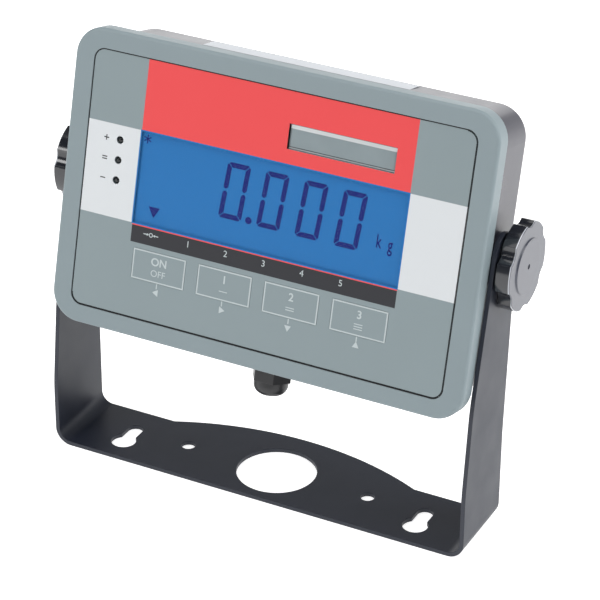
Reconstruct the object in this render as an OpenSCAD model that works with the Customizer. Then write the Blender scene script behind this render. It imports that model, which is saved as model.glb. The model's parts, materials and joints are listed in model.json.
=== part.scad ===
// Weighing indicator on a tilting bracket, in millimetres.
// The origin is on the axis of the base's cable hole, at the underside of the base.
// +Z is up and the display looks towards -Y.

/* [Front bezel] */
// Width of the bezel
face_w = 210; // [206:1:226]
// Height of the bezel
face_h = 139.5; // [138:0.5:156]
// Depth of the bezel's side, front to back
bezel_depth = 8.8; // [8:0.2:12]
// Corner radius of the bezel
corner_r = 14; // [12:0.5:16]
// Rounding of the bezel's front edge
edge_r = 1.5; // [0.6:0.1:2]
// Thickness of the bezel's front plate
plate_t = 3; // [2.6:0.1:3.4]
// Thickness of the bezel's side wall
bezel_wall = 3.5; // [3:0.1:4.5]
// Border between the bezel's side edges and the label
border_side = 10.5; // [9:0.1:11]
// Border between the bezel's top edge and the label
border_top = 9.7; // [8.5:0.05:10]
// Border between the bezel's bottom edge and the label
border_bottom = 9.25; // [9:0.05:11]
// Depth of the recess that holds the label
label_recess = 0.6; // [0.5:0.05:0.8]
// Groove left open all round the label
label_groove = 0.6; // [0.3:0.1:1]

/* [Label and display] */
// Thickness of the label film
label_t = 0.3; // [0.2:0.05:0.4]
// Corner radius of the label
label_r = 5; // [3:0.5:8]
// Label left of the display, and right of it
display_side = 27.5; // [26.5:0.1:31]
// Height of the display window
display_h = 43.3; // [38:0.5:44]
// Height of the display's centre above the middle of the face
display_v = 5.55; // [4:0.05:6]
// Thickness of the clear display window
window_t = 0.8; // [0.5:0.1:1]
// Air gap between the window and the LCD behind it
window_gap = 0.2; // [0.1:0.05:0.3]
// Gap left round the window and other inserts
insert_gap = 0.3; // [0.2:0.05:0.4]
// Width of the card window
card_w = 52.6; // [46:0.2:54]
// Height of the card window
card_h = 11.6; // [9:0.2:12]
// Centre of the card window, to the right of the middle
card_u = 32.2; // [28:0.2:34]
// Centre of the card window, above the middle
card_v = 39.85; // [39.5:0.05:42]
// Depth of the card's pocket below the face
card_depth = 2.4; // [2:0.1:2.6]
// Diameter of a status lamp
lamp_d = 3; // [2.4:0.1:3.4]
// Distance between status lamps
lamp_pitch = 9.45; // [8:0.05:10]
// Distance of the lamps from the label's left edge
lamp_inset = 16.9; // [11:0.1:18]
// Middle lamp, above the middle of the face
lamp_v = 10.9; // [8:0.1:14]

/* [Keys] */
// Number of keys
key_count = 4; // [4:1:4]
// Width of a key
key_w = 27.6; // [24:0.2:28]
// Height of a key
key_h = 14.4; // [12:0.1:14.6]
// Gap between a key and the label round it
key_gap = 0.12; // [0.1:0.02:0.3]
// Distance between keys
key_pitch = 33.95; // [32:0.05:35]
// Middle of the row of keys, below the middle of the face
key_drop = 34.65; // [34:0.05:36]
// How far a key moves in
key_travel = 0.4; // [0.3:0.05:0.5]
// Rim under the label that holds a key in
key_rim = 0.8; // [0.5:0.1:1]
// Diameter of the plunger behind a key
plunger_d = 3; // [2.4:0.1:3.2]

/* [Rear housing] */
// Depth from the front face to the back of the housing
housing_depth = 45; // [44:0.5:60]
// Thickness of the housing's walls
wall = 2.8; // [2.2:0.1:3.2]
// Corner radius of the housing
housing_r = 15; // [13:0.5:17]
// How much each side of the housing leans in towards the back
draft = 0.7; // [0.3:0.1:1.2]
// Rounding of the housing's rear edge
rear_edge_r = 3; // [2:0.2:4]
// Gap between the bezel's inside and the housing's rim
rim_gap = 0.3; // [0.2:0.05:0.4]
// Thickness of the seal between bezel and housing
gasket_t = 1.2; // [1:0.1:1.6]
// Diameter of the housing screws' heads
case_screw_head_d = 6.8; // [6:0.1:7]
// Diameter of the housing screws' shanks
case_screw_d = 3.5; // [3:0.1:3.6]
// Radius of the column round a housing screw
column_r = 5.2; // [5:0.1:5.4]

/* [Tilt and clamp] */
// Lean of the display back from upright, in degrees
tilt = 14.3; // [0:0.1:30]
// Height of the tilt axis above the underside of the base
pivot_height = 133.7; // [130:0.5:160]
// Tilt axis behind the cable hole's axis
pivot_y = 15.9; // [12:0.1:18]
// Depth of the tilt axis behind the front face
pivot_depth = 28; // [27:0.5:32]
// Diameter of the clamp studs
stud_d = 6; // [5:0.5:7]
// Diameter of the housing's side bosses
boss_d = 24.8; // [20:0.2:28]
// Thickness of the friction ring between boss and arm
ring_t = 1; // [0.8:0.1:1.4]
// Thickness of the washer under the knob
washer_t = 1.2; // [1:0.1:1.6]

/* [Knobs] */
// Diameter over the knob's lobes
knob_d = 41; // [36:0.5:44]
// Number of lobes
knob_lobes = 6; // [5:1:8]
// Length of the knob's lobed rim
knob_rim = 6.6; // [6:0.2:9]
// Height of the raised disc on the knob's face
knob_crown = 0.6; // [0.4:0.1:1.4]
// Depth of the hollows between the lobes
scallop_depth = 2; // [1.4:0.1:2.4]
// Width of the hollows between the lobes
scallop_w = 9.4; // [7:0.2:10]
// Turn of the right knob at rest, in degrees
knob_turn_right = 54; // [0:1:60]
// Turn of the left knob at rest, in degrees
knob_turn_left = 8; // [0:1:60]

/* [Bracket] */
// Thickness of the bracket's sheet
sheet_t = 2; // [1.5:0.1:2.5]
// Gap between an arm and the bezel's side
arm_gap = 0.4; // [0.3:0.05:1]
// Radius inside the two bends
bend_r = 6; // [4:0.5:8]
// Edge of the base in front of the cable hole's axis
base_front = 24; // [22:0.5:28]
// Edge of the base behind the cable hole's axis
base_rear = 15.7; // [14:0.1:20]
// How far the middle of the base bulges behind that edge
hump_depth = 14.3; // [10:0.1:18]
// Width of the bulge where it leaves the straight edge
hump_w = 129; // [110:1:140]
// Height at which an arm's front edge starts to lean back
arm_lean_start = 33; // [28:1:45]
// Height at which the front edge meets the line of the bezel
arm_knee = 76; // [66:1:84]
// How far the front edge has leaned back there
arm_knee_in = 5.1; // [4:0.1:7]
// Lean of the front edge above that, in degrees
arm_front_lean = 14.3; // [10:0.1:18]
// Height of an arm's top corner above the tilt axis
arm_over = 22; // [20:0.5:26]
// Slope of an arm's top edge towards the back, in degrees
arm_top_slope = 26; // [18:1:30]
// Width of an arm along its top edge
arm_top_w = 34.5; // [32:0.5:38]
// Rounding of an arm's upper corners
arm_corner_r = 9; // [6:0.5:11]
// Height of the bend in an arm's rear edge
arm_waist = 108; // [100:1:114]
// How far the rear edge has moved back there
arm_waist_out = 3.7; // [2:0.1:6]
// Height at which an arm's rear edge starts to lean
arm_rear_start = 47; // [40:1:60]
// Diameter of the cable hole
cable_hole_d = 38.4; // [30:0.2:42]
// Diameter of the two small holes
small_hole_d = 6.8; // [5:0.1:8]
// Distance between the two small holes
small_hole_pitch = 95.8; // [90:0.2:104]
// Diameter of a keyhole's head
keyhole_d = 12.1; // [10:0.1:13]
// Width of a keyhole's slot
keyhole_slot_w = 7.7; // [5:0.1:8]
// Distance between the two keyholes
keyhole_pitch = 155; // [148:0.5:160]
// Length of a keyhole, from head centre to slot end centre
keyhole_run = 10.9; // [8:0.1:12]

/* [Cable gland] */
// Depth of the gland's axis behind the front face
gland_depth = 28.5; // [27:0.5:30]
// Width across the flats of the gland's nuts
gland_af = 17; // [15:0.5:19]
// Diameter of the gland's domed end
gland_dome_d = 16.3; // [14:0.1:16.5]
// How far the gland stands out of its seat
gland_out = 22.4; // [20:0.2:26]
// Bore of the gland's rubber seal
seal_bore_d = 6.2; // [4:0.1:6.6]
// Gland's axis, to the right of the middle
gland_u = -0.8; // [-2:0.1:2]

/* [Boards] */
// Depth of the main board's front behind the face
board_front = 11; // [10.6:0.2:13]
// Thickness of the main board
board_t = 1.6; // [1.2:0.2:2]
// Room left and right of the main board
board_gap_u = 14.4; // [13.4:0.2:15.4]
// Room above and below the main board
board_gap_v = 12.15; // [11.2:0.05:13.2]

/* [Hidden] */

// overrun of every cut, and the smoothness of round forms
over = 1;
fine = 96;
small = 48;
// running clearance in the radius of a threaded or turned fit
fit_gap = 0.05;
// clearance in the radius of a hole that only lets a shank through
pass_gap = 0.4;

// bezel, label and display places, in the face's own frame: u right, v up, n into the object
label_w = face_w - 2 * border_side;
label_h = face_h - border_top - border_bottom;
label_v = (border_bottom - border_top) / 2;
label_front = label_recess - label_t;
display_w = label_w - 2 * display_side;
lamp_u = label_w / 2 - lamp_inset;
window_front = label_front;
panel_front = window_front + window_t + window_gap;
// contact strips, the margin of the glass beyond the backlight, and the frame round them
strip_w = 2.5;
strip_inset = 1.9;
strip_share = 0.9;
light_margin = 4.4;
light_t = 3.5;
frame_margin_u = 5.5;
frame_margin_v = 4.9;
frame_floor_t = 1.2;

// card pocket
card_t = 0.3;
card_slack = 0.3;
card_lens_t = 0.8;
card_wall = 1.4;
card_back_t = 1.6;

// keys: a plate in the label, a rim under it, a stem and a plunger
key_corner_r = 1;
key_rim_t = 0.5;
key_stop = 0.1;
key_pocket = label_recess + key_rim_t + key_travel + key_stop;
stem_d = 6;
switch_size = 6;
switch_h = 3.5;
switch_bore = 2;
plunger_in = 0.4;

// lamps
lamp_hole_gap = 0.3;
lamp_body = 5.6;
lamp_leg = 0.5;
lamp_leg_gap = 2.54;

// housing
rim_front = plate_t + gasket_t;
rim_w = face_w - 2 * bezel_wall - 2 * rim_gap;
rim_h = face_h - 2 * bezel_wall - 2 * rim_gap;
case_screw_in_u = 11;
case_screw_in_v = 10.4;
case_screw_u = rim_w / 2 - case_screw_in_u;
case_screw_v = rim_h / 2 - case_screw_in_v;
bezel_boss_r = 4.2;
bezel_boss_end = 14;
screw_floor = 6;
screw_head_t = 2.4;
screw_bite = 8;

// board, its posts and its screws
board_w = rim_w - 2 * wall - 2 * board_gap_u;
board_h = rim_h - 2 * wall - 2 * board_gap_v;
standoff_r = 3.5;
standoff_in_u = 5;
standoff_in_v = 6;
standoff_u = board_w / 2 - standoff_in_u;
standoff_v = board_h / 2 - standoff_in_v;
board_back = board_front + board_t;
board_screw_d = 2.9;
board_screw_head_d = 5.5;
board_screw_head_t = 1.6;
board_screw_bite = 5;

// clamp along the tilt axis, measured from the middle of the object
arm_in = face_w / 2 + arm_gap;
arm_out = arm_in + sheet_t;
boss_out = arm_in - ring_t;
side_at_pivot = rim_w / 2 - draft * (pivot_depth - rim_front) / (housing_depth - rim_front);
insert_wall = 1.5;
insert_d = stud_d + 2 * insert_wall;
insert_len = 10;
insert_end = boss_out - insert_len;
blind_t = 2;
inner_boss_wall = 3.5;
inner_boss_r = insert_d / 2 + inner_boss_wall;
ring_bore = stud_d + 2;
washer_d = 26;
stud_hole_d = stud_d + 2 * pass_gap;
knob_start = arm_out + washer_t;
knob_hub_r = 9;
knob_skirt = 3.4;
knob_hollow = 4;
stud_in_knob = 4.2;
stud_grip = 9;
crown_share = 0.62;
crown_slope = 0.4;
knob_chamfer = 0.5;
dimple_d = 2.4;
dimple_depth = 0.5;

// gland, measured down from the middle of the face
gland_seat_rim = 2.04;
gland_seat_r = gland_af / 2 + gland_seat_rim;
gland_pad = 0.6;
gland_floor_t = 2;
gland_seat = rim_h / 2 + gland_pad;
gland_inside = rim_h / 2 - wall - gland_floor_t;
collar_h = 5;
thread_d = 12;
thread_len = 13.6;
nut_gap = 0.3;
nut_hex_h = 9.8;
nut_mouth_gap = 0.8;
seal_wall = 2;
seal_len = 11;
locknut_t = 4;
tail_len = 1;
gland_top = gland_inside - locknut_t - tail_len;

// power socket in the housing's underside
socket_u = 46;
socket_d = 8;
socket_nut_af = 10;
socket_nut_t = 2;
socket_bore_d = 5.4;
socket_pin_d = 2;
socket_body = [9, 12, 11];

module face_frame() {
    translate([0, pivot_y, pivot_height])
        rotate([90 - tilt, 0, 0])
            mirror([0, 0, 1])
                translate([0, 0, -pivot_depth])
                    children();
}

// stands a child's +Z along the tilt axis, towards the right-hand side
module on_axis(x) {
    translate([x, pivot_y, pivot_height])
        rotate([0, 90, 0])
            children();
}

module sides() {
    children();
    mirror([1, 0, 0]) children();
}

module four(u, v) {
    for (a = [-1, 1], b = [-1, 1])
        translate([a * u, b * v]) children();
}

// points of an arc, for a polygon
function arc(c, r, from, to, steps = 8) =
    [
        for (i = [0 : steps])
            let (a = from + (to - from) * i / steps)
            c + r * [cos(a), sin(a)]
    ];

module round_rect(w, h, r) {
    square([w - 2 * r, h], center = true);
    square([w, h - 2 * r], center = true);
    four(w / 2 - r, h / 2 - r) circle(r, $fn = small);
}

module plate(w, h, r, from, to) {
    translate([0, 0, from]) linear_extrude(to - from) round_rect(w, h, r);
}

// carries a profile round a rounded rectangle; the profile's x is counted from the corner's centre
module round_loop(w, h, r) {
    for (a = [0, 1], b = [0, 1])
        mirror([a, 0, 0]) mirror([0, b, 0])
            translate([w / 2 - r, h / 2 - r]) rotate_extrude(angle = 90, $fn = fine) children();
    for (a = [0, 1])
        mirror([a, 0, 0])
            translate([w / 2 - r, h / 2 - r]) rotate([90, 0, 0]) linear_extrude(h - 2 * r) children();
    for (b = [0, 1])
        mirror([0, b, 0])
            translate([r - w / 2, h / 2 - r]) rotate([90, 0, 90]) linear_extrude(w - 2 * r) children();
}

module key_place(i) {
    translate([(i - (key_count + 1) / 2) * key_pitch, -key_drop]) children();
}

module each_lamp() {
    for (i = [-1 : 1]) translate([-lamp_u, lamp_v + i * lamp_pitch]) children();
}

// Bracket: one bent sheet with two arms

// circle through the bulge's two ends and its crest
hump_r = (hump_w * hump_w / 4 + hump_depth * hump_depth) / (2 * hump_depth);

module keyhole() {
    translate([0, -keyhole_run]) circle(keyhole_d / 2, $fn = small);
    circle(keyhole_slot_w / 2, $fn = small);
    translate([-keyhole_slot_w / 2, -keyhole_run]) square([keyhole_slot_w, keyhole_run]);
}

module base_outline() {
    difference() {
        union() {
            translate([bend_r + sheet_t - arm_out, -base_front])
                square([2 * (arm_out - bend_r - sheet_t), base_front + base_rear]);
            intersection() {
                translate([0, base_rear + hump_depth - hump_r]) circle(hump_r, $fn = 4 * fine);
                translate([-hump_w / 2, 0]) square([hump_w, base_rear + hump_depth + over]);
            }
        }
        circle(cable_hole_d / 2, $fn = fine);
        for (side = [-1, 1]) {
            translate([side * small_hole_pitch / 2, 0]) circle(small_hole_d / 2, $fn = small);
            translate([side * keyhole_pitch / 2, 0]) keyhole();
        }
    }
}

// side view of an arm: x is the row's Y and y is the row's Z
arm_foot = bend_r + sheet_t;
front_foot = [-base_front, arm_foot];
front_start = [-base_front, arm_lean_start];
front_knee = [arm_knee_in - base_front, arm_knee];
arm_top = pivot_height + arm_over;
top_front = [front_knee[0] + (arm_top - arm_knee) * tan(arm_front_lean), arm_top];
top_rear = top_front + arm_top_w * [cos(arm_top_slope), -sin(arm_top_slope)];
rear_waist = [base_rear + arm_waist_out, arm_waist];
rear_start = [base_rear, arm_rear_start];
rear_foot = [base_rear, arm_foot];
slow_r = 90;
waist_r = 20;

function unit(v) = v / norm(v);

// arc that rounds corner b between a and c with radius r
function corner(a, b, c, r, steps = 8) =
    let (
        p = unit(a - b),
        q = unit(c - b),
        half = acos(p * q) / 2,
        centre = b + unit(p + q) * r / sin(half),
        first = b + p * r / tan(half) - centre,
        last = b + q * r / tan(half) - centre,
        a0 = atan2(first[1], first[0]),
        turn = atan2(first[0] * last[1] - first[1] * last[0], first * last)
    )
    arc(centre, r, a0, a0 + turn, steps);

arm_points = concat(
    [front_foot],
    corner(front_foot, front_start, front_knee, slow_r),
    corner(front_start, front_knee, top_front, slow_r),
    corner(front_knee, top_front, top_rear, arm_corner_r),
    corner(top_front, top_rear, rear_waist, arm_corner_r),
    corner(top_rear, rear_waist, rear_start, waist_r),
    corner(rear_waist, rear_start, rear_foot, slow_r),
    [rear_foot]
);

module arm() {
    difference() {
        translate([arm_in, 0, 0])
            rotate([90, 0, 90])
                linear_extrude(sheet_t)
                    polygon(arm_points);
        on_axis(arm_in - over)
            cylinder(sheet_t + 2 * over, d = stud_hole_d, $fn = small);
    }
}

module bend() {
    translate([arm_out - arm_foot, base_rear, arm_foot])
        rotate([90, 0, 0])
            linear_extrude(base_front + base_rear)
                intersection() {
                    difference() {
                        circle(arm_foot, $fn = fine);
                        circle(bend_r, $fn = fine);
                    }
                    translate([0, -arm_foot]) square(arm_foot);
                }
}

module bracket() {
    color([0.22, 0.23, 0.26]) {
        linear_extrude(sheet_t) base_outline();
        sides() {
            bend();
            arm();
        }
    }
}

// Front bezel: plate, side wall, bosses and openings

module bezel_profile() {
    polygon(concat(
        [[0, 0]],
        arc([corner_r - edge_r, edge_r], edge_r, -90, 0),
        [
            [corner_r, bezel_depth],
            [corner_r - bezel_wall, bezel_depth],
            [corner_r - bezel_wall, plate_t],
            [0, plate_t]
        ]
    ));
}

module bezel_openings() {
    // recess for the label, with a groove round it
    translate([0, label_v])
        plate(label_w + 2 * label_groove, label_h + 2 * label_groove, label_r + label_groove,
              -over, label_recess);
    // display
    translate([0, display_v, -over])
        linear_extrude(plate_t + 2 * over)
            square([display_w + 2 * insert_gap, display_h + 2 * insert_gap], center = true);
    // card pocket
    translate([card_u, card_v, -over])
        linear_extrude(card_depth + over)
            square([card_w, card_h], center = true);
    // keys
    for (i = [1 : key_count]) key_place(i) {
        plate(key_w + 2 * key_rim + 2 * insert_gap, key_h + 2 * key_rim + 2 * insert_gap,
              key_corner_r + insert_gap, -over, key_pocket);
        cylinder(plate_t + over, d = stem_d + 2 * insert_gap, $fn = small);
    }
    // lamps
    each_lamp() translate([0, 0, -over])
        cylinder(plate_t + 2 * over, r = lamp_d / 2 + lamp_hole_gap, $fn = small);
}

module front_bezel() {
    color([0.56, 0.61, 0.63]) face_frame() {
        difference() {
            union() {
                round_loop(face_w, face_h, corner_r) bezel_profile();
                linear_extrude(plate_t)
                    square([face_w - 2 * corner_r, face_h - 2 * corner_r], center = true);
                // thicker back behind the card pocket
                translate([card_u, card_v, plate_t / 2])
                    linear_extrude(card_depth + card_back_t - plate_t / 2)
                        square([card_w + 2 * card_wall, card_h + 2 * card_wall], center = true);
                // bosses for the housing screws and posts for the board
                four(case_screw_u, case_screw_v)
                    translate([0, 0, plate_t / 2])
                        cylinder(bezel_boss_end - plate_t / 2, r = bezel_boss_r, $fn = small);
                four(standoff_u, standoff_v)
                    translate([0, 0, plate_t / 2])
                        cylinder(board_front - plate_t / 2, r = standoff_r, $fn = small);
            }
            bezel_openings();
            four(case_screw_u, case_screw_v)
                translate([0, 0, bezel_boss_end - screw_bite])
                    cylinder(screw_bite + over, r = case_screw_d / 2 + fit_gap, $fn = small);
            four(standoff_u, standoff_v)
                translate([0, 0, board_front - board_screw_bite])
                    cylinder(board_screw_bite + over, r = board_screw_d / 2 + fit_gap, $fn = small);
        }
    }
}

// Label film and what shows through it

module front_label() {
    color([0.56, 0.62, 0.63]) face_frame()
        translate([0, 0, label_front])
            linear_extrude(label_t)
                difference() {
                    translate([0, label_v]) round_rect(label_w, label_h, label_r);
                    translate([0, display_v])
                        square([display_w + 2 * insert_gap, display_h + 2 * insert_gap], center = true);
                    translate([card_u, card_v]) square([card_w, card_h], center = true);
                    for (i = [1 : key_count]) key_place(i)
                        round_rect(key_w + 2 * key_gap, key_h + 2 * key_gap, key_corner_r + key_gap);
                    each_lamp() circle(lamp_d / 2 + lamp_hole_gap, $fn = small);
                }
}

module display_window() {
    color([0.3, 0.55, 0.8, 0.4]) face_frame()
        translate([0, display_v, window_front])
            linear_extrude(window_t)
                square([display_w, display_h], center = true);
}

module lcd_panel() {
    color([0.2, 0.48, 0.73]) face_frame()
        translate([0, display_v, panel_front])
            linear_extrude(plate_t - panel_front)
                square([display_w, display_h], center = true);
}

light_w = display_w - 2 * light_margin;
light_h = display_h - 2 * light_margin;
strip_v = display_h / 2 - strip_inset;
strip_len = display_w * strip_share;

module backlight() {
    color([0.9, 0.93, 0.95]) face_frame()
        translate([0, display_v, plate_t])
            linear_extrude(light_t)
                square([light_w, light_h], center = true);
}

module contact_strips() {
    color([0.85, 0.45, 0.5]) face_frame()
        for (side = [-1, 1])
            translate([0, display_v + side * strip_v, plate_t])
                linear_extrude(board_front - plate_t)
                    square([strip_len, strip_w], center = true);
}

module lcd_frame() {
    color([0.12, 0.12, 0.13]) face_frame()
        translate([0, display_v, 0])
            difference() {
                translate([0, 0, plate_t])
                    linear_extrude(board_front - plate_t)
                        square([display_w + 2 * frame_margin_u, display_h + 2 * frame_margin_v],
                               center = true);
                // pocket for the backlight
                translate([0, 0, plate_t - over])
                    linear_extrude(light_t + over)
                        square([light_w + 2 * insert_gap, light_h + 2 * insert_gap], center = true);
                // hollow behind the pocket's floor
                translate([0, 0, plate_t + light_t + frame_floor_t])
                    linear_extrude(board_front)
                        square([light_w, light_h], center = true);
                // slots for the contact strips
                for (side = [-1, 1])
                    translate([0, side * strip_v, plate_t - over])
                        linear_extrude(board_front)
                            square([strip_len + 2 * insert_gap, strip_w + 2 * insert_gap], center = true);
            }
}

module data_card() {
    color([0.85, 0.87, 0.88]) face_frame()
        translate([card_u, card_v, card_depth - card_t])
            linear_extrude(card_t)
                square([card_w - 2 * card_slack, card_h - 2 * card_slack], center = true);
}

module card_window() {
    color([0.8, 0.85, 0.88, 0.4]) face_frame()
        translate([card_u, card_v, card_depth - card_t - card_lens_t])
            linear_extrude(card_lens_t)
                square([card_w - 2 * card_slack, card_h - 2 * card_slack], center = true);
}

module status_lamps() {
    color([0.12, 0.12, 0.14]) face_frame()
        each_lamp() {
            translate([0, 0, label_front + lamp_d / 2]) {
                cylinder(lamp_body - lamp_d / 2, d = lamp_d, $fn = small);
                intersection() {
                    sphere(d = lamp_d, $fn = small);
                    translate([0, 0, -lamp_d / 4]) cube([lamp_d, lamp_d, lamp_d / 2], center = true);
                }
            }
            for (side = [-1, 1])
                translate([side * lamp_leg_gap / 2, 0, label_front + lamp_body - lamp_leg])
                    linear_extrude(board_front - label_front - lamp_body + lamp_leg)
                        square(lamp_leg, center = true);
        }
}

// Keys: each pushes a switch on the board

module key(i) {
    color([0.56, 0.62, 0.63]) face_frame() key_place(i) {
        plate(key_w, key_h, key_corner_r, label_front, label_recess);
        plate(key_w + 2 * key_rim, key_h + 2 * key_rim, key_corner_r,
              label_recess, label_recess + key_rim_t);
        translate([0, 0, label_recess]) cylinder(plate_t - label_recess, d = stem_d, $fn = small);
        translate([0, 0, label_recess])
            cylinder(board_front - switch_h + plunger_in - label_recess, d = plunger_d, $fn = small);
    }
}

module key_1() { key(1); }
module key_2() { key(2); }
module key_3() { key(3); }
module key_4() { key(4); }

module key_switches() {
    color([0.15, 0.15, 0.17]) face_frame()
        for (i = [1 : key_count]) key_place(i)
            translate([0, 0, board_front - switch_h])
                difference() {
                    linear_extrude(switch_h) square(switch_size, center = true);
                    translate([0, 0, -over])
                        cylinder(switch_bore + over, r = plunger_d / 2 + insert_gap, $fn = small);
                }
}

// Main board and what it carries

module main_board() {
    color([0.1, 0.35, 0.2]) face_frame()
        translate([0, 0, board_front])
            linear_extrude(board_t)
                difference() {
                    square([board_w, board_h], center = true);
                    four(standoff_u, standoff_v) circle(board_screw_d / 2 + pass_gap, $fn = small);
                }
}

module board_screws() {
    color([0.75, 0.76, 0.78]) face_frame()
        four(standoff_u, standoff_v) {
            translate([0, 0, board_front - board_screw_bite + over / 2])
                cylinder(board_screw_bite + board_t - over / 2, d = board_screw_d, $fn = small);
            translate([0, 0, board_back])
                cylinder(board_screw_head_t, d = board_screw_head_d, $fn = small);
        }
}

board_end = board_w / 2;
board_top = board_h / 2;

// chips as [u, v, width, height, thickness]; the outer ones are counted from the board's edges
chip_sizes = [
    [0, 6, 14, 14, 1.6],
    [-34, 12, 10, 7.5, 2.3],
    [-34, -8, 10, 6, 1.8],
    [30, 20, 9, 9, 2],
    [34, -4, 13, 5, 3.6],
    [26 - board_end, board_top - 27, 12, 12, 6],
    [board_end - 24, board_top - 25, 18, 10, 5]
];

module board_parts() {
    color([0.1, 0.1, 0.11]) face_frame()
        for (c = chip_sizes)
            translate([c[0], c[1], board_back])
                linear_extrude(c[4])
                    square([c[2], c[3]], center = true);
}

capacitor_places = [
    [board_end - 32, 33 - board_top],
    [board_end - 18, 33 - board_top],
    [24 - board_end, 49 - board_top]
];
capacitor_d = 10;
capacitor_h = 12.5;

module capacitors() {
    color([0.15, 0.17, 0.3]) face_frame()
        for (c = capacitor_places)
            translate([c[0], c[1], board_back]) cylinder(capacitor_h, d = capacitor_d, $fn = small);
}

buzzer_place = [22 - board_end, 21 - board_top];
buzzer_d = 12;
buzzer_h = 8.5;
buzzer_hole_d = 2;
buzzer_hole_depth = 1.5;

module buzzer() {
    color([0.1, 0.1, 0.1]) face_frame()
        translate([buzzer_place[0], buzzer_place[1], board_back])
            difference() {
                cylinder(buzzer_h, d = buzzer_d, $fn = small);
                translate([0, 0, buzzer_h - buzzer_hole_depth])
                    cylinder(buzzer_hole_depth + over, d = buzzer_hole_d, $fn = small);
            }
}

terminal_count = 8;
terminal_pitch = 5;
terminal_from_edge = 11;
terminal_v = terminal_from_edge - board_top;
terminal_h = 8;
terminal_t = 10;
terminal_mouth = 3;
terminal_mouth_depth = 5;
terminal_mouth_lift = 3.4;
terminal_screw_d = 3;
terminal_screw_len = 3;
terminal_well_d = 3.6;
terminal_well_v = 1;

module each_terminal() {
    for (i = [0 : terminal_count - 1])
        translate([(i - (terminal_count - 1) / 2) * terminal_pitch, 0, 0]) children();
}

module terminal_block() {
    color([0.1, 0.45, 0.25]) face_frame()
        translate([0, terminal_v, board_back])
            difference() {
                linear_extrude(terminal_t)
                    square([terminal_count * terminal_pitch, terminal_h], center = true);
                each_terminal() {
                    // mouths for the leads, towards the gland
                    translate([-terminal_mouth / 2, -terminal_h / 2 - over,
                               terminal_mouth_lift - terminal_mouth / 2])
                        cube([terminal_mouth, terminal_mouth_depth - over, terminal_mouth]);
                    // wells for the screws
                    translate([0, terminal_well_v, terminal_t - terminal_screw_len - over])
                        cylinder(terminal_screw_len + 2 * over, d = terminal_well_d, $fn = small);
                }
            }
}

module terminal_screws() {
    color([0.75, 0.76, 0.78]) face_frame()
        translate([0, terminal_v, board_back])
            each_terminal()
                translate([0, terminal_well_v, terminal_t - terminal_screw_len - over])
                    cylinder(terminal_screw_len, d = terminal_screw_d, $fn = small);
}

// Rear housing: a drafted tray with screw columns, side bosses and a gland seat

module housing_profile() {
    r = housing_r;
    back = housing_depth;
    polygon(concat(
        [[r - wall, rim_front], [r, rim_front]],
        arc([r - draft - rear_edge_r, back - rear_edge_r], rear_edge_r, 0, 90),
        [[0, back], [0, back - wall], [r - draft - wall, back - wall]]
    ));
}

module housing_columns(radius, from, to) {
    four(case_screw_u, case_screw_v)
        translate([0, 0, from]) cylinder(to - from, r = radius, $fn = small);
}

screw_head_front = bezel_boss_end + screw_floor;

// stands a child's +Z along the face frame's u, at the depth of the tilt axis
module sideways(u) {
    translate([u, 0, pivot_depth]) rotate([0, 90, 0]) children();
}

// stands a child's +Z downwards along the face, at the gland's depth
module downwards(v, u = gland_u) {
    translate([u, -v, gland_depth]) rotate([90, 0, 0]) children();
}

module rear_housing() {
    color([0.36, 0.36, 0.38]) face_frame()
        difference() {
            union() {
                round_loop(rim_w, rim_h, housing_r) housing_profile();
                translate([0, 0, housing_depth - wall])
                    linear_extrude(wall)
                        square([rim_w - 2 * housing_r, rim_h - 2 * housing_r], center = true);
                housing_columns(column_r, bezel_boss_end, housing_depth - wall / 2);
                // side bosses
                sides() {
                    sideways(side_at_pivot - wall / 2)
                        cylinder(boss_out - side_at_pivot + wall / 2, d = boss_d, $fn = fine);
                    sideways(insert_end - blind_t)
                        cylinder(side_at_pivot - insert_end + blind_t - wall / 2,
                                 r = inner_boss_r, $fn = small);
                }
                // flat seat for the gland, outside and inside
                downwards(gland_inside)
                    cylinder(gland_seat - gland_inside, r = gland_seat_r, $fn = small);
                // flat seat for the power socket
                downwards(gland_inside, socket_u)
                    cylinder(gland_seat - gland_inside, d = socket_nut_af + 2 * wall, $fn = small);
            }
            // screw holes and their counterbores
            housing_columns(case_screw_d / 2 + pass_gap, bezel_boss_end - over, housing_depth + over);
            housing_columns(case_screw_head_d / 2 + pass_gap / 2, screw_head_front, housing_depth + over);
            // sockets for the threaded inserts
            sides()
                sideways(insert_end)
                    cylinder(insert_len + over, r = insert_d / 2 + fit_gap, $fn = small);
            downwards(gland_inside - over)
                cylinder(gland_seat - gland_inside + 2 * over, r = thread_d / 2 + fit_gap, $fn = small);
            downwards(gland_inside - over, socket_u)
                cylinder(gland_seat - gland_inside + 2 * over, r = socket_d / 2 + fit_gap, $fn = small);
        }
}

module housing_gasket() {
    color([0.08, 0.08, 0.08]) face_frame()
        round_loop(rim_w, rim_h, housing_r)
            translate([housing_r - wall, plate_t]) square([wall, gasket_t]);
}

module housing_screws() {
    color([0.72, 0.73, 0.75]) face_frame()
        four(case_screw_u, case_screw_v)
            difference() {
                union() {
                    translate([0, 0, bezel_boss_end - screw_bite + over / 2])
                        cylinder(screw_head_front - bezel_boss_end + screw_bite - over / 2,
                                 d = case_screw_d, $fn = small);
                    translate([0, 0, screw_head_front])
                        cylinder(screw_head_t, d = case_screw_head_d, $fn = small);
                }
                // cross recess
                for (turn = [0, 90])
                    rotate([0, 0, turn])
                        translate([0, 0, screw_head_front + screw_head_t])
                            cube([case_screw_d, case_screw_d / 4, screw_head_t], center = true);
            }
}

module boss_inserts() {
    color([0.78, 0.62, 0.3]) face_frame()
        sides()
            sideways(insert_end)
                difference() {
                    cylinder(insert_len, d = insert_d, $fn = small);
                    translate([0, 0, -over])
                        cylinder(insert_len + 2 * over, r = stud_d / 2 + fit_gap, $fn = small);
                }
}

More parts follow.
